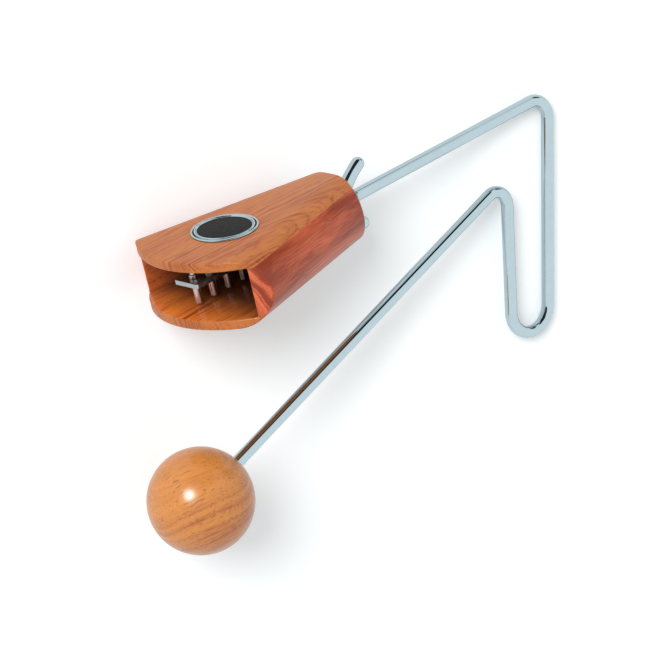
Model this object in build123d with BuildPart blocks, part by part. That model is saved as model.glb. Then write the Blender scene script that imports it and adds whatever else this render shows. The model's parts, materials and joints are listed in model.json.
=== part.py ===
from build123d import *
import math
import os

# A vibraslap: a bent steel rod that carries a wooden ball at one end and a
# tapered wooden sound box at the other. Steel pins hang loose in a steel
# tongue inside the box and rattle when the ball is struck.
#
# The model is made with +X out of the box's mouth, +Y from the badge face to
# the opposite face and +Z across the box, with the origin on the rod's axis
# between the mouth's corners. At the end it is laid on its side on the floor.

# Sound box
body_height = 42.6
plate_thickness = 5.9
mouth_width = 101.2
side_wall = 3.8
tail_width = 33.3
mouth_curve = 72.4
tail_curve = 98.0
box_reach = 114.7
arris = 0.9

# End block, its insert and the washer's seat
block_length = 30.0
slot_depth = 13.0
insert_diameter = 12.0
insert_length = 14.0
seat_diameter = 19.0
seat_depth = 1.0

# Badge
badge_length = 45.7
badge_width = 38.6
badge_thickness = 1.0
badge_reach = 28.5
rim_width = 4.0
rim_height = 1.5

# Tongue and loose pins
tongue_width = 21.0
tongue_thickness = 3.0
tongue_rise = 1.0
tongue_overhang = 8.6
tongue_corner = 1.2
pin_count = 7
first_pin_inset = 6.9
last_pin_inset = 15.6
neck_diameter = 3.8
shank_diameter = 4.6
collar_diameter = 5.6
collar_height = 2.4
pin_play = 1.5
pin_chamfer = 0.5
floor_gap = 1.7
screw_diameter = 3.5
screw_spacing = 12.0

# Rod
rod_diameter = 8.0
rod_engagement = 13.0
bend_reach = 298.0
bend_radius = 12.0
bow_back = 55.0
bow_drop = 142.4
bow_width = 31.6
elbow_back = 47.8
elbow_drop = 38.3
elbow_radius = 10.5

# Ball
ball_diameter = 65.0
ball_reach = -35.8
ball_drop = 129.1
ball_bore_depth = 44.0
rod_end_gap = 2.0

# Wing nut and washer
washer_diameter = 17.0
washer_thickness = 1.6
hub_diameter = 15.0
hub_top_diameter = 12.0
hub_height = 11.0
wing_diameter = 8.4
wing_root_share = 0.35
wing_knee_out = 13.8
wing_knee_up = 10.5
wing_tip_out = 20.5
wing_tip_up = 18.3
wing_turn = 11.0

# Clearances
running_clearance = 0.05
touch_gap = 0.05
overrun = 5.0

half_height = body_height / 2
inner_half = half_height - plate_thickness
rod_radius = rod_diameter / 2
side_tilt = math.atan2((mouth_width - tail_width) / 2, box_reach)
# How far the half-round edge runs in from the glue line, square to the side
round_inset = math.sqrt(half_height**2 - inner_half**2)
bulge = half_height - round_inset + side_wall


def side_point(offset, x):
    """Height above the axis of a line that runs along the side, moved outwards by offset."""
    return mouth_width / 2 + offset / math.cos(side_tilt) + x * math.tan(side_tilt)


def band_corners(offset, front, back):
    """Corners of a tapered band of the box's plan, offset from the inner walls."""
    ahead = side_point(offset, front)
    behind = side_point(offset, back)
    return [(front, ahead), (back, behind), (back, -behind), (front, -ahead)]


# The mouth's arc passes through the inner corners; the tail's arc through the far end
mouth_centre = -math.sqrt(mouth_curve**2 - (mouth_width / 2) ** 2)
mouth_apex = mouth_centre + mouth_curve
tail_centre = -box_reach + tail_curve
front_edge = mouth_apex + overrun
back_edge = -box_reach - overrun

# Outer form of the whole box: a flat tapered core, a half-round along each side,
# and the two arcs of the plan cut square through it
with BuildPart() as body_form:
    with BuildSketch(Plane.XZ.offset(-half_height)):
        Polygon(*band_corners(side_wall - round_inset, front_edge, back_edge), align=None)
    extrude(amount=body_height)
    for way in (1, -1):
        start = Vector(back_edge, 0, way * side_point(side_wall - round_inset, back_edge))
        run = Vector(math.cos(side_tilt), 0, way * math.sin(side_tilt))
        with BuildSketch(Plane(origin=start, x_dir=(0, 1, 0), z_dir=run)):
            Circle(half_height)
        extrude(amount=(front_edge - back_edge) / math.cos(side_tilt))
    with BuildSketch(Plane.XZ.offset(-body_height)):
        with Locations((mouth_centre, 0)):
            Circle(mouth_curve)
            Rectangle(mouth_centre - back_edge, 2 * mouth_curve, align=(Align.MAX, Align.CENTER))
        with Locations((tail_centre, 0)):
            Circle(tail_curve, mode=Mode.INTERSECT)
    extrude(amount=2 * body_height, mode=Mode.INTERSECT)
    # The sawn ends are eased all round
    mouth_face = body_form.faces().sort_by(Axis.X)[-1]
    tail_face = body_form.faces().sort_by(Axis.X)[0]
    fillet(mouth_face.edges() + tail_face.edges(), arris)

with BuildPart() as top_plate:
    add(body_form.part)
    split(bisect_by=Plane.XZ.offset(inner_half), keep=Keep.TOP)

with BuildPart() as bottom_plate:
    add(body_form.part)
    split(bisect_by=Plane.XZ.offset(-inner_half), keep=Keep.BOTTOM)


def side_wall_part(keep):
    """One of the two curved sides that stand between the plates."""
    with BuildPart() as wall:
        add(body_form.part)
        split(bisect_by=Plane.XZ.offset(inner_half), keep=Keep.BOTTOM)
        split(bisect_by=Plane.XZ.offset(-inner_half), keep=Keep.TOP)
        split(bisect_by=Plane.XY, keep=keep)
        with BuildSketch(Plane.XZ.offset(-half_height)):
            Polygon(*band_corners(0, front_edge, back_edge), align=None)
        extrude(amount=body_height, mode=Mode.SUBTRACT)
    return wall


left_side = side_wall_part(Keep.BOTTOM)
right_side = side_wall_part(Keep.TOP)

# End block between the sides, slotted for the tongue and bored for the insert
block_front = -box_reach + block_length
seat_face = -box_reach + seat_depth
slot_end = block_front - slot_depth
tongue_level = -tongue_rise
screw_station = block_front - slot_depth / 2
with BuildPart() as end_block:
    add(body_form.part)
    split(bisect_by=Plane.XZ.offset(inner_half), keep=Keep.BOTTOM)
    split(bisect_by=Plane.XZ.offset(-inner_half), keep=Keep.TOP)
    with BuildSketch(Plane.XZ.offset(-half_height)):
        Polygon(*band_corners(0, block_front, back_edge), align=None)
    extrude(amount=body_height, mode=Mode.INTERSECT)
    with BuildSketch(Plane.YZ.offset(slot_end)):
        with Locations((tongue_level, 0)):
            Rectangle(tongue_thickness, tongue_width)
    extrude(amount=slot_depth + overrun, mode=Mode.SUBTRACT)
    with BuildSketch(Plane.YZ.offset(seat_face)):
        Circle(seat_diameter / 2)
    extrude(amount=-(seat_depth + overrun), mode=Mode.SUBTRACT)
    with BuildSketch(Plane.YZ.offset(seat_face)):
        Circle(insert_diameter / 2)
    extrude(amount=insert_length, mode=Mode.SUBTRACT)
    with BuildSketch(Plane.XZ.offset(-half_height)):
        with Locations((screw_station, screw_spacing / 2), (screw_station, -screw_spacing / 2)):
            Circle(screw_diameter / 2)
    extrude(amount=body_height, mode=Mode.SUBTRACT)

with BuildPart() as threaded_insert:
    with BuildSketch(Plane.YZ.offset(seat_face)):
        Circle(insert_diameter / 2)
        Circle(rod_radius + running_clearance, mode=Mode.SUBTRACT)
    extrude(amount=insert_length)

# Tongue: a steel strip on the box's mid-plane, with a row of holes for the pins
tongue_front = tongue_overhang
first_pin = tongue_front - first_pin_inset
last_pin = block_front + last_pin_inset
pin_pitch = (first_pin - last_pin) / (pin_count - 1)
pin_stations = [first_pin - pin_pitch * i for i in range(pin_count)]
with BuildPart() as tongue_plate:
    with BuildSketch(Plane.XZ.offset(tongue_rise - tongue_thickness / 2)) as strip:
        with Locations(((tongue_front + slot_end) / 2, 0)):
            Rectangle(tongue_front - slot_end, tongue_width)
        front_corners = strip.vertices().group_by(Axis.X)[-1]
        fillet(front_corners, tongue_corner)
        with Locations([(station, 0) for station in pin_stations]):
            Circle(neck_diameter / 2 + 4 * running_clearance, mode=Mode.SUBTRACT)
        with Locations((screw_station, screw_spacing / 2), (screw_station, -screw_spacing / 2)):
            Circle(screw_diameter / 2, mode=Mode.SUBTRACT)
    extrude(amount=tongue_thickness)

# Two screws that clamp the tongue's tail in the end block
with BuildPart() as tongue_screws:
    with BuildSketch(Plane.XZ.offset(-inner_half)):
        with Locations((screw_station, screw_spacing / 2), (screw_station, -screw_spacing / 2)):
            Circle(screw_diameter / 2)
    extrude(amount=2 * inner_half)

# A loose pin: a thin stub and a collar on the badge side of the tongue, a neck through
# it, and a thicker shank that ends just clear of the box's floor
tongue_top = tongue_level - tongue_thickness / 2
tongue_bottom = tongue_level + tongue_thickness / 2
collar_seat = tongue_top - touch_gap
collar_top = collar_seat - collar_height
stub_top = -(inner_half - floor_gap - pin_play / 2)
shoulder = tongue_bottom + pin_play
shank_end = inner_half - floor_gap


def loose_pin(station):
    """A turned steel pin hung in one of the tongue's holes."""
    with BuildPart() as pin:
        with BuildSketch(Plane.XY) as half:
            with BuildLine():
                Polyline(
                    (station, stub_top),
                    (station + neck_diameter / 2, stub_top),
                    (station + neck_diameter / 2, collar_top),
                    (station + collar_diameter / 2, collar_top),
                    (station + collar_diameter / 2, collar_seat),
                    (station + neck_diameter / 2, collar_seat),
                    (station + neck_diameter / 2, shoulder),
                    (station + shank_diameter / 2, shoulder),
                    (station + shank_diameter / 2, shank_end),
                    (station, shank_end),
                    close=True,
                )
            make_face()
        revolve(axis=Axis((station, 0, 0), (0, 1, 0)))
        rims = pin.edges().filter_by(GeomType.CIRCLE)
        ends = rims.group_by(Axis.Y)
        chamfer(ends[0] + ends[-1], pin_chamfer)
    return pin


pins = [loose_pin(station) for station in pin_stations]

# Rod: one bar, bent in the plane of the badge's upright and the box's axis
bend = Vector(-bend_reach, 0)
elbow = Vector(elbow_back - bend_reach, elbow_drop)
bow = Vector(bow_back - bend_reach, bow_drop)
ball_centre = Vector(-ball_reach, ball_drop)
# The bow's foot is square to the line down its middle
bow_line = (bow - (bend + elbow) * 0.5).normalized()
bow_foot = Vector(bow_line.Y, -bow_line.X)
bow_outer = bow - bow_foot * (bow_width / 2)
bow_inner = bow + bow_foot * (bow_width / 2)
if (bow_outer - bend).length > (bow_inner - bend).length:
    bow_outer, bow_inner = bow_inner, bow_outer


def foot_radius(before, corner, after, room):
    """The largest bend that fits in the room beside a corner."""
    turn = math.radians((corner - before).get_angle(after - corner))
    return room / math.tan(turn / 2)


bow_radius = 0.98 * min(
    foot_radius(bend, bow_outer, bow_inner, bow_width / 2),
    foot_radius(bow_outer, bow_inner, elbow, bow_width / 2),
)
arm_way = (ball_centre - elbow).normalized()
bore_bottom = ball_centre + arm_way * (ball_bore_depth - ball_diameter / 2)
rod_end = bore_bottom - arm_way * rod_end_gap
rod_start = Vector(seat_face + rod_engagement, 0)
with BuildPart() as rod:
    with BuildLine() as rod_line:
        FilletPolyline(
            rod_start,
            bend,
            bow_outer,
            bow_inner,
            elbow,
            rod_end,
            radius=[bend_radius, bow_radius, bow_radius, elbow_radius],
        )
    with BuildSketch(Plane(origin=rod_start, x_dir=(0, 1, 0), z_dir=(-1, 0, 0))):
        Circle(rod_radius)
    sweep(path=rod_line.wires()[0])

with BuildPart() as ball:
    with Locations(ball_centre):
        Sphere(ball_diameter / 2)
    with BuildSketch(Plane(origin=bore_bottom, z_dir=arm_way * -1)):
        Circle(rod_radius)
    extrude(amount=ball_bore_depth + overrun, mode=Mode.SUBTRACT)

# Washer and wing nut at the box's end
washer_face = seat_face - touch_gap
with BuildPart() as end_washer:
    with BuildSketch(Plane.YZ.offset(washer_face)):
        Circle(washer_diameter / 2)
        Circle(rod_radius + 2 * running_clearance, mode=Mode.SUBTRACT)
    extrude(amount=-washer_thickness)

nut_face = washer_face - washer_thickness - touch_gap
with BuildPart() as wing_nut:
    with BuildSketch(Plane.XY):
        with BuildLine():
            Polyline(
                (nut_face, 0),
                (nut_face, hub_diameter / 2),
                (nut_face - hub_height, hub_top_diameter / 2),
                (nut_face - hub_height, 0),
                close=True,
            )
        make_face()
    revolve(axis=Axis.X)
    for way in (1, -1):
        root = Vector(nut_face - wing_diameter / 2, way * hub_diameter * wing_root_share)
        knee = Vector(nut_face - wing_knee_up, way * wing_knee_out)
        tip = Vector(nut_face - wing_tip_up, way * wing_tip_out)
        with BuildLine() as wing_line:
            ThreePointArc(root, knee, tip)
        with BuildSketch(Plane(origin=root, z_dir=wing_line.line % 0)):
            Circle(wing_diameter / 2)
        sweep(path=wing_line.wires()[0])
        with Locations(tip):
            Sphere(wing_diameter / 2)
    with BuildSketch(Plane.YZ.offset(nut_face + overrun)):
        Circle(rod_radius + running_clearance)
    extrude(amount=-(hub_height + 2 * overrun), mode=Mode.SUBTRACT)
# The nut stands a little round from the plane of the rod's bends
wing_nut.part = wing_nut.part.rotate(Axis.X, -wing_turn)

# Badge: a bare oval plate with a raised rim on the flat of the top plate
badge_face = half_height
with BuildPart() as badge_plate:
    with BuildSketch(Plane.XZ.offset(badge_face)):
        with Locations((-badge_reach, 0)):
            Ellipse(badge_width / 2 - rim_width, badge_length / 2 - rim_width)
    extrude(amount=badge_thickness)

with BuildPart() as badge_rim:
    with BuildSketch(Plane.XZ.offset(badge_face)):
        with Locations((-badge_reach, 0)):
            Ellipse(badge_width / 2, badge_length / 2)
            Ellipse(badge_width / 2 - rim_width, badge_length / 2 - rim_width, mode=Mode.SUBTRACT)
    extrude(amount=rim_height)

pieces = {
    "top_plate": top_plate,
    "bottom_plate": bottom_plate,
    "left_side": left_side,
    "right_side": right_side,
    "end_block": end_block,
    "threaded_insert": threaded_insert,
    "tongue_plate": tongue_plate,
    "tongue_screws": tongue_screws,
    "badge_plate": badge_plate,
    "badge_rim": badge_rim,
    "rod": rod,
    "ball": ball,
    "end_washer": end_washer,
    "wing_nut": wing_nut,
}
for number, pin in enumerate(pins, start=1):
    pieces[f"pin_{number}"] = pin


def circle_line_meeting(centre, radius, offset):
    """Where the outermost line of the side meets the mouth's arc, as a station on X."""
    slope = math.tan(side_tilt)
    rise = side_point(offset, 0)
    a = 1 + slope**2
    b = 2 * (rise * slope - centre)
    c = centre**2 + rise**2 - radius**2
    return (-b + math.sqrt(b * b - 4 * a * c)) / (2 * a)


# The vibraslap lies on its side: on the box's lower mouth corner and under the
# rod's bend and bow. The floor is found by turning it until it is under all three
corner_x = circle_line_meeting(mouth_centre, mouth_curve, bulge)
corner = Vector(corner_x, 0, -side_point(bulge, corner_x))
bend_turn = (bend - rod_start).get_angle(bow_outer - bend)
bend_in = ((rod_start - bend).normalized() + (bow_outer - bend).normalized()).normalized()
bend_centre = bend + bend_in * (bend_radius / math.cos(math.radians(bend_turn) / 2))
bow_centre = bow - bow_line * bow_radius
floor_up = Vector(0, 0, 1)
for turn in range(6):
    ahead = Vector(floor_up.X, floor_up.Y, 0)
    ahead = ahead.normalized() * -1 if ahead.length > 0 else Vector(-1, 0, 0)
    under_bend = bend_centre + ahead * bend_radius - floor_up * rod_radius
    under_bow = bow_centre + ahead * bow_radius - floor_up * rod_radius
    floor_up = (under_bow - corner).cross(under_bend - corner).normalized()
    if floor_up.Z < 0:
        floor_up = floor_up * -1

floor_x = (Vector(1, 0, 0) - floor_up * floor_up.X).normalized()
floor_plane = Plane(origin=corner, x_dir=floor_x, z_dir=floor_up)
laid = Compound(children=[piece.part.moved(floor_plane.location.inverse()) for piece in pieces.values()])
box = laid.bounding_box()
centring = Location((-(box.min.X + box.max.X) / 2, -(box.min.Y + box.max.Y) / 2, -box.min.Z))
lay_down = centring * floor_plane.location.inverse()

os.makedirs("parts", exist_ok=True)
for name, piece in pieces.items():
    finished = piece.part.moved(lay_down)
    finished.label = name
    export_step(finished, f"parts/{name}.step")


def row_point(point):
    """A point of the model after it has been laid down, in metres."""
    placed = lay_down * Pos(*point)
    return tuple(round(value / 1000, 6) for value in placed.position)


origin_point = Vector(*row_point((0, 0, 0)))
for label, way in (("x", (1000, 0, 0)), ("y", (0, 1000, 0)), ("z", (0, 0, 1000))):
    print("direction", label, tuple(round(value, 6) for value in Vector(*row_point(way)) - origin_point))
print("origin", tuple(origin_point))
print("nut face", row_point((nut_face, 0, 0)), "floor normal", tuple(floor_up), "low", box.min.Z)
print("pins", [row_point((station, 0, 0)) for station in pin_stations])
print("floor face", row_point((-box_reach / 2, half_height, 0)), "size", box.size)
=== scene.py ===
import json
import math
import bmesh
import bpy
from bpy.props import FloatProperty, FloatVectorProperty, PointerProperty
from mathutils import Matrix, Vector


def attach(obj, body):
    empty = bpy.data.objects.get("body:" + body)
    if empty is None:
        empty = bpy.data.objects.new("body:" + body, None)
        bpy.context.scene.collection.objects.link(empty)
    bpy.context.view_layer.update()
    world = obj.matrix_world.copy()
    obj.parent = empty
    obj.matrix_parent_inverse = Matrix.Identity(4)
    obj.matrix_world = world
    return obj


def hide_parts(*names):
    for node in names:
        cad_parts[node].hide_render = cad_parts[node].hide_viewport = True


bl_info = {
    "name": "Vibraslap",
    "version": (1, 0, 0),
    "blender": (4, 5, 0),
    "location": "3D View > Sidebar > Vibraslap",
    "description": "Dresses the packed vibraslap with turned, bent and glued-up pieces",
    "category": "Object",
}

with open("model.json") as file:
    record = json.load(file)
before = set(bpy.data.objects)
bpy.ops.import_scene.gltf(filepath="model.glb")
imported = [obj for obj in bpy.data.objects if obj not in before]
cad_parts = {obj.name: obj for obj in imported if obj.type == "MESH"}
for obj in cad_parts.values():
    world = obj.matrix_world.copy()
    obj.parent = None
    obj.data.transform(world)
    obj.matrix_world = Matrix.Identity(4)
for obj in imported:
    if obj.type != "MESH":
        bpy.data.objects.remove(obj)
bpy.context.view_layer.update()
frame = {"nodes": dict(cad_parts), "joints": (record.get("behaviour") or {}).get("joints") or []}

# The instrument's own axes: x out of the box's mouth, y from the badge face to the
# ball's side, z across the box. Its origin lies on the rod between the mouth's corners
joints = {joint["name"]: joint for joint in frame["joints"]}
ALONG = Vector(joints["box_swivel"]["axis"]).normalized()
ACROSS_THIN = Vector(joints["pin_1_rattle"]["axis"]).normalized()
ACROSS_WIDE = ALONG.cross(ACROSS_THIN)
SEAT_STATION = -0.1137
START = Vector(joints["box_swivel"]["pos_m"]) - ALONG * SEAT_STATION
AXES = Matrix((ALONG, ACROSS_THIN, ACROSS_WIDE)).transposed()
MM = 0.001

# Stations along x, and the tongue's middle level in y, in metres
BADGE_STATION = -0.0285
TONGUE_FRONT, TONGUE_BACK = 0.0086, -0.0977
TONGUE_LEVEL = -0.001
FIRST_PIN, LAST_PIN = 0.0017, -0.0691
ROD_START = -0.1007
THREAD_START, THREAD_END = -0.110, -0.1295

PIN_COUNT = 7
# Depth of the ball's bore, and the gap where pieces move on each other
BORE_DEPTH = 0.044
CLEARANCE = 0.00005


def place(x, y, z):
    """A point of the instrument's own axes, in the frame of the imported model."""
    return START + AXES @ Vector((x, y, z))


def linear(code):
    """The linear colour of an sRGB hex code."""
    values = [int(code[i : i + 2], 16) / 255 for i in (1, 3, 5)]
    return tuple(v / 12.92 if v <= 0.04045 else ((v + 0.055) / 1.055) ** 2.4 for v in values)


def length(name, description, default):
    """A length that the user may change, in metres."""
    return FloatProperty(
        name=name, description=description, default=default, min=0.0, unit="LENGTH", precision=5
    )


def colour(name, description, code):
    """A colour that the user may change."""
    return FloatVectorProperty(
        name=name, description=description, default=linear(code), min=0.0, max=1.0, subtype="COLOR", size=3
    )


class VibraslapSizes(bpy.types.PropertyGroup):
    """Sizes of the pieces"""

    body_height: length("Body height", "Over both boards of the box", 0.0426)
    board: length("Board", "Thickness of each board", 0.0059)
    mouth_width: length("Mouth width", "Between the sides' inner faces at the mouth", 0.1012)
    tail_width: length("Tail width", "Between the sides' inner faces at the far end", 0.0333)
    mouth_curve: length("Mouth curve", "Radius of the mouth's arc in plan", 0.0724)
    tail_curve: length("Tail curve", "Radius of the far end's arc in plan", 0.098)
    box_reach: length("Box reach", "From the mouth's corners to the far end", 0.1147)
    side_wall: length("Side wall", "Thickness of the sides at the glue lines", 0.0038)
    arris: length("Arris", "Rounding of the boards' sawn edges", 0.0009)
    rod: length("Rod", "Diameter of the rod", 0.008)
    thread_pitch: length("Thread pitch", "Pitch of the rod's thread", 0.00125)
    ball: length("Ball", "Diameter of the ball", 0.065)
    badge_length: length("Badge length", "Length of the badge across the box", 0.0457)
    badge_width: length("Badge width", "Width of the badge along the box", 0.0386)
    badge_rim: length("Badge rim", "Width of the badge's rim", 0.004)
    tongue_width: length("Tongue width", "Width of the steel tongue", 0.021)
    tongue_thickness: length("Tongue thickness", "Thickness of the steel tongue", 0.003)
    shank: length("Pin shank", "Diameter of the pins' shanks", 0.0046)
    neck: length("Pin neck", "Diameter of the pins' necks", 0.0038)
    collar: length("Pin collar", "Diameter of the pins' collars", 0.0056)
    washer: length("Washer", "Diameter of the washer", 0.017)


class VibraslapColours(bpy.types.PropertyGroup):
    """Colours of the finishes"""

    board_pale: colour("Board, pale", "Pale wood of the boards", "#BB6E36")
    board_dark: colour("Board, dark", "Dark lines of the boards", "#86371A")
    side_pale: colour("Side, pale", "Pale wood of the sides", "#D06640")
    side_dark: colour("Side, dark", "Dark bands of the sides", "#8E3518")
    inside_pale: colour("Inside, pale", "Pale wood under the thick lacquer inside", "#FF8A36")
    inside_red: colour("Inside, red", "Pale wood of the sides under the thick lacquer", "#E67232")
    inside_dark: colour("Inside, dark", "Dark lines under the thick lacquer inside", "#96421A")
    ball_pale: colour("Ball, pale", "Pale wood of the ball", "#C8803C")
    ball_dark: colour("Ball, dark", "Dark lines of the ball", "#A4562A")
    block_pale: colour("Block, pale", "Pale wood of the end block", "#9C5426")
    block_dark: colour("Block, dark", "Dark wood of the end block", "#5E2C12")
    chrome: colour("Chrome", "Chrome of the rod, the nut and the badge's rim", "#BDD2D9")
    steel: colour("Steel", "Plated steel of the tongue and the washer", "#B9C6CA")
    pin_steel: colour("Pin steel", "Turned steel of the pins", "#CDBFB8")
    enamel: colour("Enamel", "Enamel of the badge", "#15191B")
    brass: colour("Brass", "Brass of the threaded insert", "#C9A55B")


def chosen(context):
    """The sizes and the colours that the user has set."""
    return context.scene.vibraslap_sizes, context.scene.vibraslap_colours


# ---- meshes ----


def add_object(name, data):
    """A new object in the scene."""
    piece = bpy.data.objects.new(name, data)
    bpy.context.scene.collection.objects.link(piece)
    return piece


def make_piece(name, points, faces, material, sharp=35.0, inside=None, lies_inside=None):
    """A closed mesh of the instrument's own axes, shaded smooth up to an angle.

    Faces whose centre passes the test lies_inside get the material inside.
    """
    mesh = bpy.data.meshes.new(name)
    mesh.from_pydata([place(*point) for point in points], [], faces)
    work = bmesh.new()
    work.from_mesh(mesh)
    bmesh.ops.remove_doubles(work, verts=work.verts, dist=1e-7)
    bmesh.ops.recalc_face_normals(work, faces=work.faces)
    work.to_mesh(mesh)
    work.free()
    mesh.shade_smooth()
    mesh.set_sharp_from_angle(angle=math.radians(sharp))
    mesh.materials.append(material)
    if inside:
        mesh.materials.append(inside)
        for polygon in mesh.polygons:
            if lies_inside(AXES.transposed() @ (polygon.center - START)):
                polygon.material_index = 1
    return add_object(name, mesh)


def applied(piece):
    """The mesh of a drawing or a blank as it shows. The object itself goes."""
    graph = bpy.context.evaluated_depsgraph_get()
    mesh = bpy.data.meshes.new_from_object(piece.evaluated_get(graph))
    bpy.data.objects.remove(piece)
    return mesh


def settle(piece, node, body, lacquered=False):
    """Let a piece stand for a CAD node and ride on its body.

    Lacquered pieces join the collection that the spark lamp lights.
    """
    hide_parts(node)
    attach(piece, body)
    if lacquered:
        bpy.data.collections["lacquered wood"].objects.link(piece)


def finish_node(node, material):
    """Give a CAD node that stays a better finish."""
    mesh = frame["nodes"][node].data
    mesh.materials.clear()
    mesh.materials.append(material)


def spokes(count):
    """Cosine and sine of each of count equal steps round a circle."""
    angles = [2 * math.pi * k / count for k in range(count)]
    return [(math.cos(a), math.sin(a)) for a in angles]


def ring_faces(rows, count, closed=False):
    """Faces between neighbouring rings of count points, and from the last to the first if closed."""
    faces = []
    for row in range(rows if closed else rows - 1):
        here, there = row * count, (row + 1) % rows * count
        for k in range(count):
            after = (k + 1) % count
            faces.append((here + k, here + after, there + after, there + k))
    return faces


def lathe(profile, centre, axis, segments=64):
    """Points and faces of a profile of (radius, height) turned about an axis through centre."""
    axis = Vector(axis).normalized()
    side = axis.orthogonal().normalized()
    other = axis.cross(side)
    points = []
    for radius, height in profile:
        middle = Vector(centre) + axis * height
        points += [middle + (side * c + other * s) * radius for c, s in spokes(segments)]
    return points, ring_faces(len(profile), segments)


def round_corner(centre, radius, first, last, steps=6):
    """Points of an arc from one angle to another, in degrees."""
    angles = [math.radians(first + (last - first) * i / steps) for i in range(steps + 1)]
    return [(centre[0] + radius * math.cos(a), centre[1] + radius * math.sin(a)) for a in angles]


class BoxForm:
    """The plan and edge profile that the boards and sides of the box share."""

    def __init__(self, sizes):
        self.sizes = sizes
        self.half = sizes.body_height / 2
        self.inner = self.half - sizes.board
        self.tilt = math.atan2((sizes.mouth_width - sizes.tail_width) / 2, sizes.box_reach)
        self.inset = math.sqrt(self.half**2 - self.inner**2)
        self.mouth_centre = -math.sqrt(sizes.mouth_curve**2 - (sizes.mouth_width / 2) ** 2)
        self.tail_centre = sizes.tail_curve - sizes.box_reach

    def reach_out(self, y):
        """How far the half-round stands outside the sides' inner face, square to it."""
        return self.sizes.side_wall - self.inset + math.sqrt(max(self.half**2 - y**2, 0.0))

    def end_station(self, share, offset, centre, radius, way):
        """Where a line along the box meets the mouth's or the tail's arc."""
        slope = share * math.tan(self.tilt)
        rise = share * (self.sizes.mouth_width / 2 + offset / math.cos(self.tilt))
        a = 1 + slope**2
        b = 2 * (rise * slope - centre)
        c = centre**2 + rise**2 - radius**2
        return (-b + way * math.sqrt(b * b - 4 * a * c)) / (2 * a)

    def point(self, share, offset, y, station):
        """A point at a share of the half width, where 1 is the sides' inner face moved out by offset."""
        rise = self.sizes.mouth_width / 2 + offset / math.cos(self.tilt) + station * math.tan(self.tilt)
        return (station, y, share * rise)

    def loft(self, profile, steps=5):
        """Rows of points along the box for a profile of (share, offset, y, inward offset, inward y)."""
        rows = []
        arris = self.sizes.arris
        turns = [math.pi / 2 * i / steps for i in range(steps + 1)]
        ends = [(self.tail_centre, self.sizes.tail_curve, -1, t) for t in reversed(turns)]
        ends += [(self.mouth_centre, self.sizes.mouth_curve, 1, t) for t in turns]
        for centre, radius, way, turn in ends:
            row = []
            back = arris * (1 - math.sin(turn))
            inset = arris * (1 - math.cos(turn))
            for share, offset, y, in_offset, in_y in profile:
                moved = offset + in_offset * inset
                station = self.end_station(share, moved, centre, radius - back, way)
                row.append(self.point(share, moved, y + in_y * inset, station))
            rows.append(row)
        return rows


def skin(rows, end_faces):
    """Faces between rows of one closed loop, and end faces between its matching points."""
    count = len(rows[0])
    faces = ring_faces(len(rows), count)
    last = (len(rows) - 1) * count
    for polygon in end_faces:
        faces.append(tuple(polygon))
        faces.append(tuple(last + k for k in reversed(polygon)))
    return [point for row in rows for point in row], faces


def board_piece(form, name, way, material, inside):
    """One board: flat outside and inside, half-round along both sides, arrises eased at the ends."""
    across, round_steps = 56, 14
    shares = [-1 + 2 * i / across for i in range(across + 1)]
    flat_offset = form.reach_out(form.half)
    outer = [(s, flat_offset, way * form.half, 0.0, -way) for s in shares]
    top, low = math.pi / 2, math.asin(form.inner / form.half)
    bend = []
    for i in range(1, round_steps + 1):
        turn = top + (low - top) * i / round_steps
        y = form.half * math.sin(turn)
        bend.append((form.reach_out(y), way * y, -math.cos(turn), -way * math.sin(turn)))
    right = [(1.0, *item) for item in bend]
    left = [(-1.0, *item) for item in reversed(bend)]
    seam, half_wall = way * form.inner, form.sizes.side_wall / 2
    glued_right = [(1.0, half_wall, seam, 0.0, 0.0), (1.0, 0.0, seam, 0.0, 0.0)]
    glued_left = [(-1.0, 0.0, seam, 0.0, 0.0), (-1.0, half_wall, seam, 0.0, 0.0)]
    # The inner face stops a hair short of the glue lines, to keep its edge points apart
    inner = [(s * (1 - 1e-4), 0.0, seam, 0.0, way) for s in reversed(shares)]
    profile = outer + right + glued_right + inner + glued_left + left
    start_inner = len(outer) + len(right) + len(glued_right)
    end_inner = start_inner + across
    end_faces = [(i, end_inner - i, end_inner - i - 1, i + 1) for i in range(across)]
    end_faces.append(tuple(range(start_inner, len(outer) - 2, -1)))
    end_faces.append((0, *range(len(profile) - 1, end_inner - 1, -1)))
    points, faces = skin(form.loft(profile), end_faces)
    near = form.inner + 0.1 * form.sizes.arris
    return make_piece(name, points, faces, material, inside=inside, lies_inside=lambda c: abs(c.y) < near)


def side_piece(form, name, way, material, inside):
    """One side: half-round outside, flat inside, with its D-shaped end at the mouth."""
    steps = 28
    low = math.asin(form.inner / form.half)
    outer, inner = [], []
    for i in range(steps + 1):
        turn = low - 2 * low * i / steps
        y = form.half * math.sin(turn)
        outer.append((way, form.reach_out(y), y, -math.cos(turn), -math.sin(turn)))
        inner.append((way, 0.0, y, 1.0, 0.0))
    inner[0] = (way, 0.0, form.inner, 0.0, 0.0)
    inner[-1] = (way, 0.0, -form.inner, 0.0, 0.0)
    last = 2 * steps + 1
    end_faces = [(i, last - i, last - i - 1, i + 1) for i in range(steps)]
    points, faces = skin(form.loft(outer + inner[::-1]), end_faces)

    def on_the_wall(centre):
        wall = form.sizes.mouth_width / 2 + centre.x * math.tan(form.tilt)
        return abs(centre.z) < wall + 0.1 * form.sizes.arris

    return make_piece(name, points, faces, material, inside=inside, lies_inside=on_the_wall)


# ---- materials ----


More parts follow.
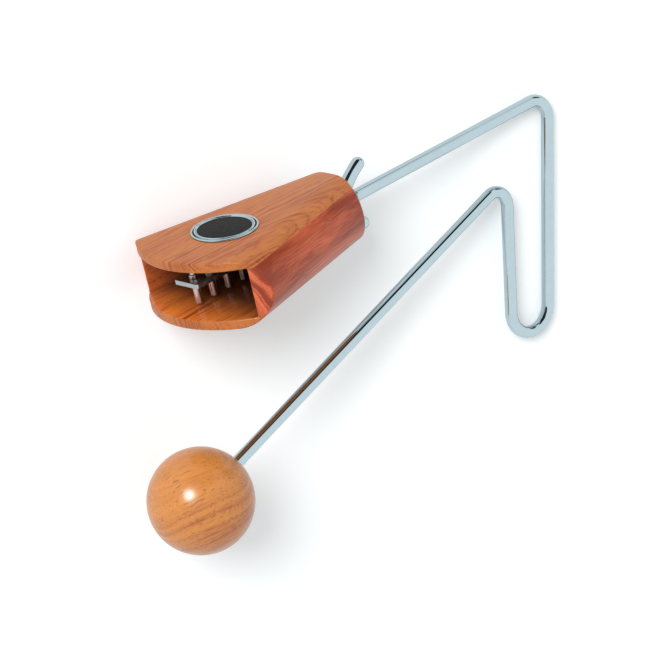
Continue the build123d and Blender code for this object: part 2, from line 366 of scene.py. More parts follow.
def add_node(tree, kind, inputs=None, stops=(), **settings):
    """Add one shader node with its settings, its inputs set or linked, and its ramp's stops.

    An input is a value, a socket, or a node, which stands for its first output.
    """
    node = tree.nodes.new(f"ShaderNode{kind}")
    for key, value in settings.items():
        setattr(node, key, value)
    for key, value in (inputs or {}).items():
        if isinstance(value, bpy.types.Node):
            value = value.outputs[0]
        if isinstance(value, bpy.types.NodeSocket):
            tree.links.new(value, node.inputs[key])
        else:
            node.inputs[key].default_value = value
    if stops:
        elements = node.color_ramp.elements
        for end in (0, -1):
            elements[end].position, elements[end].color = stops[end][0], (*stops[end][1], 1.0)
        for position, tone in stops[1:-1]:
            elements.new(position).color = (*tone, 1.0)
    return node


def new_tree(owners, name):
    """A new material or world, and its empty node tree."""
    owner = owners.new(name)
    owner.use_nodes = True
    owner.node_tree.nodes.clear()
    return owner, owner.node_tree


def grain_place(tree, along, up, centre):
    """Coordinates in millimetres with x along the grain and y towards up, from a centre."""
    x = along.normalized()
    z = x.cross(up).normalized()
    turn = Matrix((x, z.cross(x), z))
    where = add_node(tree, "TexCoord").outputs["Object"]
    mapped = add_node(
        tree, "Mapping", {"Vector": where, "Location": -(turn @ centre), "Rotation": turn.to_euler()}
    )
    return add_node(tree, "VectorMath", {0: mapped, "Scale": 1 / MM}, operation="SCALE")


def repeat(long, wide):
    """Scales for a pattern that repeats in so many millimetres along the grain and across it."""
    return (1 / long, 1 / wide, 1 / wide)


def hardwood(
    name, along, up, centre, pale, dark, pith, ring, warp, streak, pores, matt,
    tilt=0.0, lacquer=0.15, satin=0.28, shine=0.3, painted_shading=(0.0, 0.0), quarter=0.4, shade_stations=None, ends=0.0,
):
    """Sawn, sanded and lacquered hardwood.

    Growth rings about a pith give the broad lines, stretched noise gives the fibres, and
    short dark dashes give the open pores; the lacquer lays a soft clear gloss over them.
    Lengths are in millimetres. pith is how deep the rings' middle lies and how far across,
    ring their spacing, warp how far they wander, and tilt their slope along the grain.
    streak is the fibres' strength, pores the pores' darkness, matt the wood's roughness,
    lacquer the coat's weight, satin its roughness, and shine the wood's own reflection.
    painted_shading is how much the wood darkens per millimetre away from the pith, painted
    shade on the side turned from the light and painted light on the side by the pith, and the
    distance at which it has its own colour, quarter the rings' strength far from the pith,
    shade_stations the stations between which the wood fades to near black as painted shade
    deep inside the box, and ends how much stronger the rings show on end grain.
    """
    material, tree = new_tree(bpy.data.materials, name)
    grain = grain_place(tree, along, up, centre)
    # Slow wander of the grain, drawn out along the board
    slow = add_node(tree, "VectorMath", {0: grain, 1: repeat(70, 22)}, operation="MULTIPLY")
    wander = add_node(tree, "TexNoise", {"Vector": slow, "Scale": 1.0, "Detail": 2.0}).outputs["Color"]
    centred = add_node(tree, "VectorMath", {0: wander, 1: (0.5, 0.5, 0.5)}, operation="SUBTRACT")
    moved = add_node(tree, "VectorMath", {0: centred, "Scale": warp}, operation="SCALE")
    bent = add_node(tree, "VectorMath", {0: grain, 1: moved}, operation="ADD")
    # Rings by their distance from the pith
    x, y, z = add_node(tree, "SeparateXYZ", {0: bent}).outputs
    lean = add_node(tree, "Math", {0: x, 1: tilt, 2: y}, operation="MULTIPLY_ADD")
    deep = add_node(tree, "Math", {0: lean, 1: pith[0]}, operation="SUBTRACT")
    wide = add_node(tree, "Math", {0: z, 1: pith[1]}, operation="SUBTRACT")
    flat = add_node(tree, "CombineXYZ", {0: deep, 1: wide})
    far = add_node(tree, "VectorMath", {0: flat}, operation="LENGTH").outputs["Value"]
    rings = add_node(tree, "Math", {0: far, 1: 1 / ring}, operation="MULTIPLY")
    bands = add_node(
        tree, "TexNoise", {"W": rings, "Scale": 1.0, "Detail": 3.0, "Roughness": 0.62}, noise_dimensions="1D"
    )
    # Rings cut flat near the pith show most, and those cut square to them blend together
    contrast = add_node(
        tree, "MapRange", {"Value": far, "From Min": 8.0, "From Max": 55.0, "To Min": 1.0, "To Max": quarter}
    )
    if ends:
        # End grain drinks the finish, so that its rings show darker
        facing = add_node(tree, "TexCoord").outputs["Normal"]
        cut = add_node(tree, "VectorMath", {0: facing, 1: along.normalized()}, operation="DOT_PRODUCT")
        across = add_node(tree, "Math", {0: cut.outputs["Value"]}, operation="ABSOLUTE")
        open_end = add_node(
            tree, "MapRange", {"Value": across, "From Min": 0.6, "From Max": 0.85, "To Max": ends}
        )
        contrast = add_node(tree, "Math", {0: contrast, 1: open_end}, operation="ADD")
    centred_rings = add_node(tree, "Math", {0: bands, 1: 0.5}, operation="SUBTRACT")
    shown = add_node(tree, "Math", {0: centred_rings, 1: contrast, 2: 0.5}, operation="MULTIPLY_ADD")
    # Painted light and shade: the wood darkens steadily with distance from the pith, lighter than its own
    # colour before the given distance and darker past it
    shaded_rings = add_node(tree, "Math", {0: far, 1: painted_shading[0], 2: shown}, operation="MULTIPLY_ADD")
    # Fibres about half a millimetre across and a couple of centimetres long
    fine = add_node(tree, "VectorMath", {0: bent, 1: repeat(22, 0.8)}, operation="MULTIPLY")
    fibres = add_node(tree, "TexNoise", {"Vector": fine, "Scale": 1.0, "Detail": 3.0, "Roughness": 0.6})
    # Pores as short grooves, drawn about twice as wide as real ones so that they show
    dash = add_node(tree, "VectorMath", {0: bent, 1: repeat(16, 0.75)}, operation="MULTIPLY")
    specks = add_node(tree, "TexNoise", {"Vector": dash, "Scale": 1.0, "Detail": 0.0})
    pore = add_node(tree, "MapRange", {"Value": specks, "From Min": 0.66, "From Max": 0.76, "To Max": pores})
    # Broad flame of lighter and darker wood
    cloud = add_node(tree, "VectorMath", {0: grain, 1: repeat(60, 16)}, operation="MULTIPLY")
    flame = add_node(tree, "TexNoise", {"Vector": cloud, "Scale": 1.0, "Detail": 1.0})
    # Rings, fibres and flame add up to one level, which picks the tone about its middle value
    mixed = add_node(tree, "Math", {0: fibres, 1: streak, 2: shaded_rings}, operation="MULTIPLY_ADD")
    summed = add_node(tree, "Math", {0: flame, 1: 0.5, 2: mixed}, operation="MULTIPLY_ADD")
    middle = 0.5 + 0.5 * streak + 0.25 + painted_shading[0] * painted_shading[1]
    level = add_node(
        tree, "MapRange", {"Value": summed, "From Min": middle - 0.26, "From Max": middle + 0.30}
    )
    between = tuple(math.sqrt(a * b) for a, b in zip(pale, dark))
    bright = tuple(min(1.0, v * 1.14) for v in pale)
    stops = [(0.0, bright), (0.45, tuple(pale)), (0.78, between), (1.0, tuple(dark))]
    tone = add_node(tree, "ValToRGB", {"Fac": level}, stops=stops)
    hollow = (*(v * 0.5 for v in dark), 1.0)
    finish = add_node(tree, "Mix", {0: pore, 6: tone, 7: hollow}, data_type="RGBA").outputs[2]
    roughness = add_node(
        tree,
        "MapRange",
        {"Value": fibres, "From Min": 0.3, "From Max": 0.7, "To Min": matt, "To Max": matt + 0.12},
    )
    groove = add_node(tree, "Math", {0: pore, 1: -0.6, 2: fibres}, operation="MULTIPLY_ADD")
    bump = add_node(tree, "Bump", {"Strength": 0.25, "Distance": 0.06 * MM, "Height": groove})
    # Painted shade: from one station to the other the wood fades to near black, as shade deep inside the
    # box, and grows rougher
    if shade_stations:
        thin = add_node(
            tree, "MapRange", {"Value": x, "From Min": shade_stations[0], "From Max": shade_stations[1], "To Max": 0.94}
        )
        shade_colour = (*(v * 0.12 for v in dark), 1.0)
        finish = add_node(tree, "Mix", {0: thin, 6: finish, 7: shade_colour}, data_type="RGBA").outputs[2]
        roughness = add_node(tree, "Math", {0: thin, 1: 0.4, 2: roughness}, operation="MULTIPLY_ADD")
    looks = {"Base Color": finish, "Roughness": roughness, "Normal": bump, "IOR": 1.5}
    looks.update({"Specular IOR Level": shine, "Coat Weight": lacquer, "Coat Roughness": satin})
    shader = add_node(tree, "BsdfPrincipled", looks)
    add_node(tree, "OutputMaterial", {"Surface": shader})
    return material


def polished_chrome(name, tint):
    """Bright nickel and chrome plate on polished steel.

    It mirrors the room with a faint blue; fine polishing lines along it, drawn at a third
    of a millimetre so that they show, and slow waves of handling soften the mirror a little.
    """
    material, tree = new_tree(bpy.data.materials, name)
    grain = grain_place(tree, ALONG, ACROSS_THIN, START)
    waves = add_node(tree, "TexNoise", {"Vector": grain, "Scale": 1 / 6, "Detail": 2.0})
    lines = add_node(tree, "TexNoise", {"Vector": grain, "Scale": 1 / 0.35, "Detail": 2.0})
    rough = add_node(
        tree, "MapRange", {"Value": waves, "From Min": 0.3, "From Max": 0.7, "To Min": 0.04, "To Max": 0.08}
    )
    stops = [(0.3, tuple(v * 0.975 for v in tint)), (0.7, tuple(min(1.0, v * 1.01) for v in tint))]
    shade = add_node(tree, "ValToRGB", {"Fac": waves}, stops=stops)
    bump = add_node(tree, "Bump", {"Strength": 0.05, "Distance": 0.01 * MM, "Height": lines})
    looks = {"Base Color": shade, "Roughness": rough, "Normal": bump, "Metallic": 1.0}
    shader = add_node(tree, "BsdfPrincipled", looks)
    add_node(tree, "OutputMaterial", {"Surface": shader})
    return material


def tooled_metal(name, tint, along, grit, low, high, dull=0.8):
    """Cold-rolled or turned steel with a thin zinc or nickel plate, or turned brass.

    Fine lines left by the rollers or the lathe tool spread the highlights along them.
    grit is the line spacing in millimetres, low and high the least and most roughness, and
    dull the share of light that stains leave.
    """
    material, tree = new_tree(bpy.data.materials, name)
    grain = grain_place(tree, along, along.orthogonal(), START)
    drawn = add_node(tree, "VectorMath", {0: grain, 1: repeat(grit * 30, grit)}, operation="MULTIPLY")
    lines = add_node(tree, "TexNoise", {"Vector": drawn, "Scale": 1.0, "Detail": 2.0})
    stain = add_node(tree, "TexNoise", {"Vector": grain, "Scale": 1 / 4, "Detail": 3.0})
    both = add_node(tree, "Math", {0: lines, 1: 0.6, 2: stain}, operation="MULTIPLY_ADD")
    rough = add_node(
        tree, "MapRange", {"Value": both, "From Min": 0.5, "From Max": 1.1, "To Min": low, "To Max": high}
    )
    stops = [(0.5, tuple(v * dull for v in tint)), (1.0, tuple(tint))]
    shade = add_node(tree, "ValToRGB", {"Fac": both}, stops=stops)
    bump = add_node(tree, "Bump", {"Strength": 0.1, "Distance": 0.01 * MM, "Height": lines})
    looks = {"Base Color": shade, "Roughness": rough, "Normal": bump, "Metallic": 1.0}
    shader = add_node(tree, "BsdfPrincipled", looks)
    add_node(tree, "OutputMaterial", {"Surface": shader})
    return material


def fired_enamel(name, tint):
    """Black vitreous enamel, poured and fired into the badge.

    It is smooth with a faint orange-peel of about two millimetres, which gives deep
    black with soft, slightly wavering reflections.
    """
    material, tree = new_tree(bpy.data.materials, name)
    grain = grain_place(tree, ALONG, ACROSS_THIN, START)
    peel = add_node(tree, "TexNoise", {"Vector": grain, "Scale": 1 / 2, "Detail": 1.0})
    dust = add_node(tree, "TexNoise", {"Vector": grain, "Scale": 1 / 0.4, "Detail": 2.0})
    stops = [(0.35, tuple(tint)), (0.75, tuple(v * 1.25 + 0.002 for v in tint))]
    shade = add_node(tree, "ValToRGB", {"Fac": dust}, stops=stops)
    rough = add_node(
        tree, "MapRange", {"Value": peel, "From Min": 0.3, "From Max": 0.7, "To Min": 0.22, "To Max": 0.32}
    )
    bump = add_node(tree, "Bump", {"Strength": 0.12, "Distance": 0.02 * MM, "Height": peel})
    looks = {"Base Color": shade, "Roughness": rough, "Normal": bump, "IOR": 1.5}
    shader = add_node(tree, "BsdfPrincipled", {**looks, "Specular IOR Level": 0.03})
    add_node(tree, "OutputMaterial", {"Surface": shader})
    return material


# ---- the box ----


class VIBRASLAP_OT_sound_box(bpy.types.Operator):
    """Make the two boards and the two half-round sides of the sound box, and finish its end block"""

    bl_idname = "vibraslap.sound_box"
    bl_label = "Sound box"

    def execute(self, context):
        sizes, colours = chosen(context)
        form = BoxForm(sizes)
        # Painted shade: each inside fades to near black between its two stations, deeper into the box
        on_the_bottom, under_the_top, in_the_sides = [
            hardwood(
                name, ALONG, ACROSS_THIN, START, pale, colours.inside_dark, pith=(40.0, -26.0), ring=5.0,
                warp=6.0, streak=1.0, pores=0.3, matt=0.22, tilt=0.1, lacquer=0.65, satin=0.13,
                quarter=0.7, shade_stations=shade_stations,
            )
            for name, pale, shade_stations in (
                ("thick amber lacquer on the bottom board", colours.inside_pale, (20.0, -15.0)),
                ("thin amber lacquer under the top board", colours.inside_pale, (22.0, -12.0)),
                ("thick amber lacquer inside the sides", colours.inside_red, (24.0, -29.0)),
            )
        ]
        for name, node, way, pith, inside in (
            ("top_board", "top_plate", -1, (-30.5, 39.0), under_the_top),
            ("bottom_board", "bottom_plate", 1, (31.0, -36.0), on_the_bottom),
        ):
            wood = hardwood(
                f"lacquered rosewood of the {name.replace('_', ' ')}", ALONG, ACROSS_THIN, START,
                colours.board_pale, colours.board_dark, pith=pith, ring=2.6, warp=9.0, streak=0.6,
                pores=0.35, matt=0.36, tilt=0.09 * way, shine=0.22,
            )
            settle(board_piece(form, name, way, wood, inside), node, "sound_box", lacquered=True)
        for name, node, way in (("left_cheek", "left_side", -1), ("right_cheek", "right_side", 1)):
            line = ALONG * math.cos(form.tilt) + ACROSS_WIDE * (way * math.sin(form.tilt))
            # Painted shade: the sides darken towards their edge along the top board
            wood = hardwood(
                f"lacquered padauk of the {name.replace('_', ' ')}", line, ACROSS_THIN, START,
                colours.side_pale, colours.side_dark, pith=(24.0, way * 6.0), ring=4.0, warp=9.0,
                streak=0.55, pores=0.4, matt=0.34, tilt=-0.1, lacquer=0.6, shine=0.08,
                painted_shading=(0.0125, 43.0), ends=1.0,
            )
            settle(side_piece(form, name, way, wood, in_the_sides), node, "sound_box", lacquered=True)
        block = hardwood(
            "lacquered hardwood of the end block", ACROSS_WIDE, ALONG, START, colours.block_pale,
            colours.block_dark, pith=(-90.0, 30.0), ring=4.0, warp=3.0, streak=0.6, pores=0.5, matt=0.42,
        )
        finish_node("end_block", block)
        return {"FINISHED"}


class VIBRASLAP_OT_badge(bpy.types.Operator):
    """Make the plain enamel oval and its polished rim"""

    bl_idname = "vibraslap.badge"
    bl_label = "Badge"

    def execute(self, context):
        sizes, colours = chosen(context)
        face = -sizes.body_height / 2
        segments = 96

        def oval(inset, height, share=1.0):
            """A ring of points inset from the badge's edge, in millimetres, and scaled by a share."""
            wide = (sizes.badge_width / 2 - inset * MM) * share
            long = (sizes.badge_length / 2 - inset * MM) * share
            return [(BADGE_STATION + wide * c, face - height * MM, long * s) for c, s in spokes(segments)]

        # Rim, as insets and heights: a square foot, a crowned outer ring, a dark groove, a
        # crowned inner ring and a lip
        rim, foot = sizes.badge_rim / MM, 0.4
        profile = [(0.0, 0.0), (0.0, foot), *round_corner((0.7, foot), 0.7, 180, 0, 10)[1:]]
        profile += [(1.5, foot), (2.1, foot), (2.2, 0.6), *round_corner((2.8, 0.9), 0.6, 180, 0, 8)]
        profile += [(3.6, 0.7), (3.8, 0.9), (rim, 0.8), (rim, 0.0)]
        points = [point for inset, height in profile for point in oval(inset, height)]
        faces = ring_faces(len(profile), segments, closed=True)
        chrome = polished_chrome("polished chrome of the badge rim", colours.chrome)
        enamel = fired_enamel("fired black enamel", colours.enamel)

        def in_the_groove(centre):
            return face - (foot + 0.01) * MM < centre.y < face - 0.1 * MM

        ring = make_piece(
            "badge_ring", points, faces, chrome, sharp=50.0, inside=enamel, lies_inside=in_the_groove
        )
        settle(ring, "badge_rim", "sound_box")
        # Plate: a very shallow dome of enamel inside the rim
        steps, edge, rise = 10, 0.7, 0.3
        points = oval(rim, 0.0)
        for row in range(steps + 1):
            share = 1 - row / steps
            points += oval(rim, edge + rise * (1 - share**2), share)
        faces = ring_faces(steps + 2, segments)
        faces.append(tuple(range(segments - 1, -1, -1)))
        settle(make_piece("badge_enamel_oval", points, faces, enamel), "badge_plate", "sound_box")
        return {"FINISHED"}


# ---- tongue and pins ----


def pin_stations():
    """Where the loose pins hang, from the mouth inwards."""
    return [FIRST_PIN + (LAST_PIN - FIRST_PIN) * i / (PIN_COUNT - 1) for i in range(PIN_COUNT)]


class VIBRASLAP_OT_tongue(bpy.types.Operator):
    """Make the steel tongue with its row of holes, and finish its screws and the insert"""

    bl_idname = "vibraslap.tongue"
    bl_label = "Tongue"

    def execute(self, context):
        sizes, colours = chosen(context)
        edge, corner, hole_play = 0.00025, 0.0012, 0.0002
        half = sizes.tongue_width / 2 - edge
        front, back = TONGUE_FRONT - edge, TONGUE_BACK + edge
        drawing = bpy.data.curves.new("tongue_outline", "CURVE")
        drawing.dimensions = "2D"
        drawing.fill_mode = "BOTH"
        drawing.extrude = sizes.tongue_thickness / 2 - edge
        drawing.bevel_depth = edge
        drawing.bevel_resolution = 2
        outline = [(back, -half)]
        outline += round_corner((front - corner, -half + corner), corner, -90, 0)
        outline += round_corner((front - corner, half - corner), corner, 0, 90)
        outline += [(back, half)]
        hole = sizes.neck / 2 + hole_play + edge
        holes = [[(station + hole * c, hole * s) for c, s in spokes(32)] for station in pin_stations()]
        for loop in (outline, *holes):
            spline = drawing.splines.new("POLY")
            spline.points.add(len(loop) - 1)
            for point, (x, z) in zip(spline.points, loop):
                point.co = (x, z, 0.0, 1.0)
            spline.use_cyclic_u = True
        flat = applied(add_object("tongue_drawing", drawing))
        points = [(v.co.x, TONGUE_LEVEL + v.co.z, v.co.y) for v in flat.vertices]
        faces = [tuple(polygon.vertices) for polygon in flat.polygons]
        steel = tooled_metal("zinc plated spring steel", colours.steel, ALONG, grit=0.3, low=0.22, high=0.42)
        settle(make_piece("tongue_strip", points, faces, steel), "tongue_plate", "sound_box")
        screws = tooled_metal(
            "plated screw steel", colours.steel, ACROSS_THIN, grit=0.2, low=0.3, high=0.45
        )
        finish_node("tongue_screws", screws)
        brass = tooled_metal("turned brass", colours.brass, ALONG, grit=0.2, low=0.25, high=0.4)
        finish_node("threaded_insert", brass)
        return {"FINISHED"}


class VIBRASLAP_OT_pins(bpy.types.Operator):
    """Turn the loose pins with their collars, necks and shanks"""

    bl_idname = "vibraslap.pins"
    bl_label = "Loose pins"

    def execute(self, context):
        sizes, colours = chosen(context)
        inner = sizes.body_height / 2 - sizes.board
        neck, collar, shank = sizes.neck / 2, sizes.collar / 2, sizes.shank / 2
        # Gaps to the boards at rest, each more than the pins slide
        stub_gap, tail_gap = 0.00245, 0.0017
        collar_height, neck_below, chamfer, ease = 0.0024, 0.0015, 0.0005, 0.0002
        stub_end, tail = stub_gap - inner, inner - tail_gap
        collar_seat = TONGUE_LEVEL - sizes.tongue_thickness / 2 - CLEARANCE
        collar_top = collar_seat - collar_height
        shoulder = TONGUE_LEVEL + sizes.tongue_thickness / 2 + neck_below
        steel = tooled_metal(
            "turned and plated pin steel", colours.pin_steel, ACROSS_THIN,
            grit=0.25, low=0.14, high=0.24, dull=0.92,
        )
        profile = [
            (0.0, stub_end),
            (neck - chamfer, stub_end),
            (neck, stub_end + chamfer),
            (neck, collar_top - ease),
            (neck + ease, collar_top),
            (collar - ease, collar_top),
            (collar, collar_top + ease),
            (collar, collar_seat - ease),
            (collar - ease, collar_seat),
            (neck, collar_seat),
            (neck, shoulder),
            (shank - ease, shoulder),
            (shank, shoulder + ease),
            (shank, tail - chamfer),
            (shank - chamfer, tail),
            (0.0, tail),
        ]
        for number, station in enumerate(pin_stations(), start=1):
            points, faces = lathe(profile, (station, 0.0, 0.0), (0.0, 1.0, 0.0), 40)
            node = f"pin_{number}"
            settle(make_piece(f"loose_{node}", points, faces, steel, sharp=30.0), node, node)
        return {"FINISHED"}


# ---- rod, ball, nut ----


def rounded_path(corners, radii, step=math.radians(2.5)):
    """A planar path through corners with an arc at each inner one, as (point, direction)."""
    path = [(corners[0], (corners[1] - corners[0]).normalized())]
    for before, corner, after, radius in zip(corners, corners[1:], corners[2:], radii):
        come, go = (corner - before).normalized(), (after - corner).normalized()
        turn = come.angle(go)
        side = 1.0 if come.x * go.y - come.y * go.x > 0 else -1.0
        start = corner - come * (radius * math.tan(turn / 2))
        middle = start + Vector((-come.y, come.x, 0.0)) * (side * radius)
        count = max(4, math.ceil(turn / step))
        for i in range(count + 1):
            spin = Matrix.Rotation(side * turn * i / count, 3, "Z")
            path.append((middle + spin @ (start - middle), spin @ come))
    path.append((corners[-1], (corners[-1] - corners[-2]).normalized()))
    return path


def rod_corners(ball_radius):
    """The rod's corners, its bend radii, the ball's centre and the way from the rod into it."""
    start = Vector((ROD_START, 0.0, 0.0))
    bend = Vector((-0.298, 0.0, 0.0))
    elbow = Vector((-0.2502, 0.0383, 0.0))
    bow = Vector((-0.243, 0.1424, 0.0))
    ball = Vector((0.0358, 0.1291, 0.0))
    half_bow, bend_radius, elbow_radius, gap_in_bore = 0.0158, 0.012, 0.0105, 0.002
    line = (bow - (bend + elbow) * 0.5).normalized()
    foot = Vector((line.y, -line.x, 0.0))
    outer, inner = bow - foot * half_bow, bow + foot * half_bow
    if (outer - bend).length > (inner - bend).length:
        outer, inner = inner, outer
    # The bow is as round as its two corners leave room for
    rooms = []
    for before, corner, after in ((bend, outer, inner), (outer, inner, elbow)):
        rooms.append(half_bow / math.tan((corner - before).angle(after - corner) / 2))
    bow_radius = 0.98 * min(rooms)
    arm = (ball - elbow).normalized()
    end = ball + arm * (BORE_DEPTH - ball_radius) - arm * gap_in_bore
    corners = [start, bend, outer, inner, elbow, end]
    return corners, [bend_radius, bow_radius, bow_radius, elbow_radius], ball, arm


class VIBRASLAP_OT_rod(bpy.types.Operator):
    """Bend the rod, with its thread under and just behind the wing nut"""

    bl_idname = "vibraslap.rod"
    bl_label = "Rod"

    def execute(self, context):
        sizes, colours = chosen(context)
        corners, radii, _, _ = rod_corners(sizes.ball / 2)
        radius, segments, chamfer = sizes.rod / 2, 48, 0.0008
        depth, run_in, run_out = 0.0006, 0.001, 0.0015
        # The straight end as (station, radius, depth of the thread), which fades out at both ends
        straight = [(ROD_START, radius - chamfer, 0.0), (ROD_START - chamfer, radius, 0.0)]
        station = THREAD_START
        while station > THREAD_END:
            fade = min(1.0, (station - THREAD_END) / run_out, (THREAD_START - station) / run_in + 0.001)
            straight.append((station, radius, depth * fade))
            station -= sizes.thread_pitch / 10
        straight.append((THREAD_END - 0.0002, radius, 0.0))
        back = Vector((-1.0, 0.0, 0.0))
        rows = [(Vector((x, 0.0, 0.0)), back, size, cut) for x, size, cut in straight]
        rows += [(point, way, radius, 0.0) for point, way in rounded_path(corners, radii)[1:]]
        points = []
        for point, way, size, cut in rows:
            side, up = Vector((-way.y, way.x, 0.0)), Vector((0.0, 0.0, 1.0))
            for k, (c, s) in enumerate(spokes(segments)):
                phase = (point.x / sizes.thread_pitch + k / segments) % 1.0
                points.append(point + (side * c + up * s) * (size - cut * abs(2 * phase - 1)))
        faces = ring_faces(len(rows), segments)
        faces.append(tuple(range(segments - 1, -1, -1)))
        faces.append(tuple(range((len(rows) - 1) * segments, len(rows) * segments)))
        chrome = polished_chrome("polished chrome of the rod", colours.chrome)
        settle(make_piece("bent_rod", points, faces, chrome, sharp=40.0), "rod", "frame")
        return {"FINISHED"}


class VIBRASLAP_OT_ball(bpy.types.Operator):
    """Turn the wooden ball with its bored hole"""

    bl_idname = "vibraslap.ball"
    bl_label = "Ball"

    def execute(self, context):
        sizes, colours = chosen(context)
        radius, bore, ease, steps = sizes.ball / 2, sizes.rod / 2, 0.0007, 96
        _, _, centre, arm = rod_corners(radius)
        bottom = radius - BORE_DEPTH
        lip = math.asin((bore + ease) / radius)
        edge = radius * math.cos(lip) - ease
        profile = [(0.0, bottom), (bore, bottom), (bore, edge)]
        for turn in map(math.radians, (30, 60, 85)):
            profile.append((bore + ease * (1 - math.cos(turn)), edge + ease * math.sin(turn)))
        for i in range(steps + 1):
            turn = lip + (math.pi - lip) * i / steps
            profile.append((radius * math.sin(turn), radius * math.cos(turn)))
        points, faces = lathe(profile, centre, -arm, 128)
        # Painted light and shade: the ball is lighter on the side turned to the lamps and darker away from
        # them
        wood = hardwood(
            "lacquered and turned mahogany of the ball", AXES @ Vector((-0.85, -0.27, 0.46)),
            AXES @ Vector((0.01, -0.89, -0.465)), place(*centre), colours.ball_pale, colours.ball_dark,
            pith=(40.0, 25.0), ring=6.5, warp=9.0, streak=0.7, pores=0.5, matt=0.28, tilt=0.08,
            lacquer=0.6, satin=0.21, painted_shading=(0.004, 47.0), quarter=0.9,
        )
        ball = make_piece("turned_ball", points, faces, wood, sharp=40.0)
        settle(ball, "ball", "frame", lacquered=True)
        return {"FINISHED"}


class VIBRASLAP_OT_wing_nut(bpy.types.Operator):
    """Cast the wing nut with softened roots, and stamp its washer"""

    bl_idname = "vibraslap.wing_nut"
    bl_label = "Wing nut and washer"

    def execute(self, context):
        sizes, colours = chosen(context)
        blank = add_object("nut_blank", frame["nodes"]["wing_nut"].data.copy())
        cast = blank.modifiers.new("cast", "REMESH")
        cast.mode = "VOXEL"
        cast.voxel_size = 0.00035
        soft = blank.modifiers.new("soft", "SMOOTH")
        soft.factor = 0.5
        soft.iterations = 10
        mesh = applied(blank)
        mesh.materials.clear()
        mesh.materials.append(polished_chrome("polished chrome of the wing nut", colours.chrome))
        mesh.shade_smooth()
        settle(add_object("cast_wing_nut", mesh), "wing_nut", "wing_nut")
        thickness, play, burr, ease = 0.0016, 0.0001, 0.0001, 0.0003
        near = SEAT_STATION - CLEARANCE
        far = near - thickness
        outer, hole = sizes.washer / 2, sizes.rod / 2 + play
        profile = [(hole + ease, near), (outer - burr, near), (outer, near - burr), (outer, far + ease)]
        profile += round_corner((outer - ease, far + ease), ease, 0, -90, 4)[1:]
        profile += [(hole + ease, far), (hole, far + ease), (hole, near - ease), (hole + ease, near)]
        points, faces = lathe(profile, (0.0, 0.0, 0.0), (1.0, 0.0, 0.0))
        steel = tooled_metal(
            "zinc plated washer steel", colours.steel, ACROSS_WIDE, grit=0.3, low=0.2, high=0.38
        )
        settle(make_piece("stamped_washer", points, faces, steel, sharp=30.0), "end_washer", "washer")
        return {"FINISHED"}


# ---- stage ----

WHITE = (1.0, 1.0, 1.0, 1.0)
# Dark cards that the metal mirrors as thin stripes: the way to each, the angles in degrees
# from it where it is full and gone, and its brightness
DARK_CARDS = (
    ((0.645, -0.591, 0.484), 26.0, 31.0, 0.03),
    ((0.204, -0.865, 0.458), 27.0, 31.0, 0.03),
    ((-0.257, -0.842, 0.474), 13.0, 16.0, 0.02),
    ((-0.454, -0.891, 0.022), 11.6, 12.6, 0.03),
    ((-0.85, -0.51, 0.10), 13.0, 18.0, 0.03),
    ((-0.50, -0.86, -0.10), 18.0, 45.0, 0.84),
)


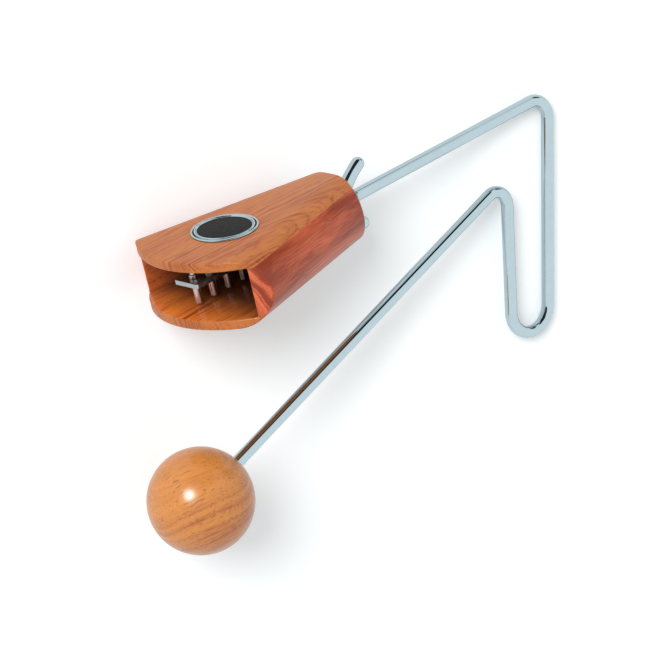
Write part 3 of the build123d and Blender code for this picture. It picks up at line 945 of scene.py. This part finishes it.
class VIBRASLAP_OT_stage(bpy.types.Operator):
    """Lay the white floor and set the lamps, the room's light and the camera"""

    bl_idname = "vibraslap.stage"
    bl_label = "Stage"

    def execute(self, context):
        scene = context.scene
        scene.view_settings.view_transform = "Standard"
        self.set_camera(scene)
        self.lay_floor()
        # A soft key lamp shades the wood; a small one gives the lacquer alone its round highlight
        lacquered = bpy.data.collections.new("lacquered wood")
        for name, energy, angle, towards, sparks in (
            ("key lamp", 1.95, 26, (0.54, -0.545, 0.64), False),
            ("spark lamp", 2.9, 19, (0.60, -0.615, 0.513), True),
        ):
            light = bpy.data.lights.new(name, "SUN")
            light.energy = energy
            light.angle = math.radians(angle)
            lamp = add_object(name, light)
            lamp.rotation_euler = Vector(towards).to_track_quat("Z", "Y").to_euler()
            lamp.visible_glossy = sparks
            lamp.visible_diffuse = not sparks
            if sparks:
                lamp.light_linking.receiver_collection = lacquered
        scene.world = self.light_room()
        return {"FINISHED"}

    def set_camera(self, scene):
        """Set the camera at the photograph's viewing angle, distance and framing."""
        right = AXES @ Vector((-0.72214, 0.21092, 0.65880))
        up = AXES @ Vector((-0.40499, -0.90101, -0.15546))
        view = AXES @ Vector((-0.56080, 0.37907, -0.73608))
        focal_pixels, image_pixels = 3910, 665
        aside, below, distance = 0.079735, 0.030561, 2.3
        lens = bpy.data.cameras.new("camera")
        lens.sensor_width = 36.0
        lens.lens = lens.sensor_width * focal_pixels / image_pixels
        camera = add_object("camera", lens)
        spot = START + right * aside - up * below - view * distance
        camera.matrix_world = Matrix.Translation(spot) @ Matrix((right, up, -view)).transposed().to_4x4()
        scene.camera = camera

    def lay_floor(self):
        """Lay plain white paper, a little brighter for the camera, that keeps the shadows."""
        reach, level = 12.0, -0.0004
        mesh = bpy.data.meshes.new("floor")
        corners = [(x * reach, y * reach, level) for x, y in ((-1, -1), (1, -1), (1, 1), (-1, 1))]
        mesh.from_pydata(corners, [], [(0, 1, 2, 3)])
        floor = add_object("floor", mesh)
        material, tree = new_tree(bpy.data.materials, "white paper")
        paper = add_node(tree, "BsdfDiffuse", {"Color": (0.9, 0.9, 0.9, 1.0)})
        seen = add_node(tree, "BsdfDiffuse", {"Color": (0.957, 0.993, 1.0, 1.0)})
        lift = add_node(tree, "Emission", {"Color": WHITE, "Strength": 0.13})
        bright = add_node(tree, "AddShader", {0: seen, 1: lift})
        to_camera = add_node(tree, "LightPath").outputs["Is Camera Ray"]
        shown = add_node(tree, "MixShader", {0: to_camera, 1: paper, 2: bright})
        add_node(tree, "OutputMaterial", {"Surface": shown})
        mesh.materials.append(material)

    def light_room(self):
        """A pale even room, white behind the object, with dark cards that only mirrors show."""
        world, tree = new_tree(bpy.data.worlds, "pale room")
        room = add_node(tree, "Background", {"Color": (0.985, 0.99, 1.0, 1.0), "Strength": 0.63})
        where = add_node(tree, "TexCoord").outputs["Generated"]
        glow = 1.0
        for direction, full, gone, dim in DARK_CARDS:
            facing = add_node(tree, "VectorMath", {0: where, 1: direction}, operation="DOT_PRODUCT")
            low, high = math.cos(math.radians(gone)), math.cos(math.radians(full))
            ramp = {"From Min": low, "From Max": high, "To Min": 1.0, "To Max": dim}
            card = add_node(tree, "MapRange", {"Value": facing.outputs["Value"], **ramp})
            glow = add_node(tree, "Math", {0: glow, 1: card}, operation="MINIMUM")
        mirror = add_node(tree, "Background", {"Color": WHITE, "Strength": glow})
        backdrop = add_node(tree, "Background", {"Color": WHITE, "Strength": 1.0})
        rays = add_node(tree, "LightPath").outputs
        glossy = add_node(tree, "MixShader", {0: rays["Is Glossy Ray"], 1: room, 2: mirror})
        clear = add_node(
            tree, "Math", {0: rays["Is Camera Ray"], 1: rays["Is Transmission Ray"]}, operation="MAXIMUM"
        )
        shown = add_node(tree, "MixShader", {0: clear, 1: glossy, 2: backdrop})
        add_node(tree, "OutputWorld", {"Surface": shown})
        return world


class VIBRASLAP_PT_panel(bpy.types.Panel):
    """Panel with the sizes, the colours and a button for each group of pieces"""

    bl_idname = "VIBRASLAP_PT_panel"
    bl_label = "Vibraslap"
    bl_space_type = "VIEW_3D"
    bl_region_type = "UI"
    bl_category = "Vibraslap"

    def draw(self, context):
        layout = self.layout
        for group in chosen(context):
            column = layout.column(align=True)
            for name in group.__annotations__:
                column.prop(group, name)
        for operator in OPERATORS:
            layout.operator(operator.bl_idname)


OPERATORS = (
    VIBRASLAP_OT_stage,
    VIBRASLAP_OT_sound_box,
    VIBRASLAP_OT_badge,
    VIBRASLAP_OT_tongue,
    VIBRASLAP_OT_pins,
    VIBRASLAP_OT_rod,
    VIBRASLAP_OT_ball,
    VIBRASLAP_OT_wing_nut,
)
CLASSES = (VibraslapSizes, VibraslapColours, *OPERATORS, VIBRASLAP_PT_panel)


def register():
    for item in CLASSES:
        bpy.utils.register_class(item)
    bpy.types.Scene.vibraslap_sizes = PointerProperty(type=VibraslapSizes)
    bpy.types.Scene.vibraslap_colours = PointerProperty(type=VibraslapColours)


def unregister():
    del bpy.types.Scene.vibraslap_colours
    del bpy.types.Scene.vibraslap_sizes
    for item in reversed(CLASSES):
        bpy.utils.unregister_class(item)


def main():
    """Make the stage and every piece."""
    register()
    bpy.ops.vibraslap.stage()
    bpy.ops.vibraslap.sound_box()
    bpy.ops.vibraslap.badge()
    bpy.ops.vibraslap.tongue()
    bpy.ops.vibraslap.pins()
    bpy.ops.vibraslap.rod()
    bpy.ops.vibraslap.ball()
    bpy.ops.vibraslap.wing_nut()


if __name__ == "__main__":
    main()
